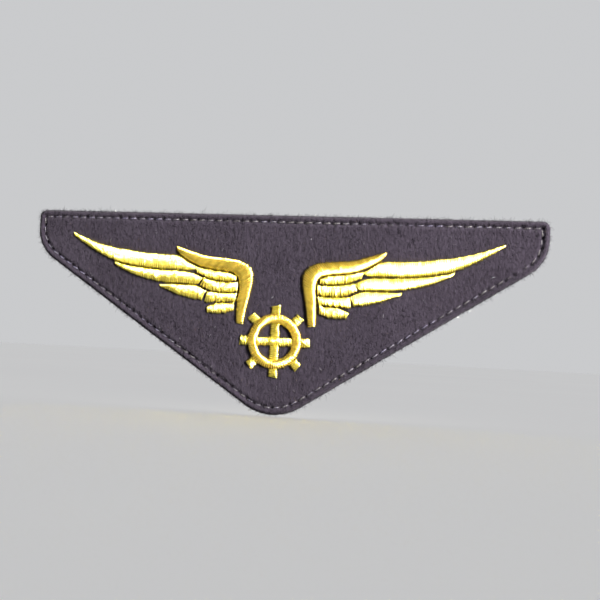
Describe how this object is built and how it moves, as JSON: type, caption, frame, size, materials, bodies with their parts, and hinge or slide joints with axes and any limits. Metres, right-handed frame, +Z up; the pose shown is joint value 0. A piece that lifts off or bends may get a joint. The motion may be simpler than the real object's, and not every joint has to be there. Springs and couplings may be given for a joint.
{
  "type": "embroidered pilot wings badge",
  "caption": "Sew-on flight-crew wings badge: a navy felted wool patch with gold satin-stitch wings either side of a cogged, cross-spoked wheel.",
  "frame": {"origin": "centre of the flat back face, half way up and half way across the badge", "axes": "+Z up as the badge is worn, +X to the right of someone who faces it, the embroidered face towards -Y and the back face on y = 0"},
  "size_m": [0.1182, 0.0028, 0.0448],
  "materials": {
    "navy_wool_felt": "napped felted wool, matt",
    "stabiliser_nonwoven": "pressed non-woven sheet, matt",
    "navy_sewing_thread": "two-ply spun thread, soft sheen",
    "gold_embroidery_thread": "glossy rayon satin stitch",
    "gold_underlay_thread": "rayon padding stitch",
    "white_bobbin_thread": "fine matt polyester thread"
  },
  "bodies": {
    "root": {"ground_cloth": "navy_wool_felt", "stabiliser_backing": "stabiliser_nonwoven", "edge_seam_top_thread": "navy_sewing_thread", "edge_seam_bobbin_thread": "navy_sewing_thread", "left_wing_arm": "gold_embroidery_thread", "left_long_feather_1": "gold_embroidery_thread", "left_long_feather_2": "gold_embroidery_thread", "left_long_feather_3": "gold_embroidery_thread", "left_covert_feather_1": "gold_embroidery_thread", "left_covert_feather_2": "gold_embroidery_thread", "left_covert_feather_3": "gold_embroidery_thread", "left_covert_feather_4": "gold_embroidery_thread", "right_wing_arm": "gold_embroidery_thread", "right_long_feather_1": "gold_embroidery_thread", "right_long_feather_2": "gold_embroidery_thread", "right_long_feather_3": "gold_embroidery_thread", "right_covert_feather_1": "gold_embroidery_thread", "right_covert_feather_2": "gold_embroidery_thread", "right_covert_feather_3": "gold_embroidery_thread", "right_covert_feather_4": "gold_embroidery_thread", "wheel_rim": "gold_embroidery_thread", "wheel_spoke_vertical": "gold_embroidery_thread", "wheel_spoke_horizontal": "gold_embroidery_thread", "wheel_tooth_1": "gold_embroidery_thread", "wheel_tooth_2": "gold_embroidery_thread", "wheel_tooth_3": "gold_embroidery_thread", "wheel_tooth_4": "gold_embroidery_thread", "wheel_tooth_5": "gold_embroidery_thread", "wheel_tooth_6": "gold_embroidery_thread", "wheel_tooth_7": "gold_embroidery_thread", "wheel_tooth_8": "gold_embroidery_thread", "left_wing_underlay": "gold_underlay_thread", "right_wing_underlay": "gold_underlay_thread", "wheel_underlay": "gold_underlay_thread", "left_wing_bobbin_thread": "white_bobbin_thread", "right_wing_bobbin_thread": "white_bobbin_thread", "wheel_bobbin_thread": "white_bobbin_thread"}
  },
  "joints": []
}
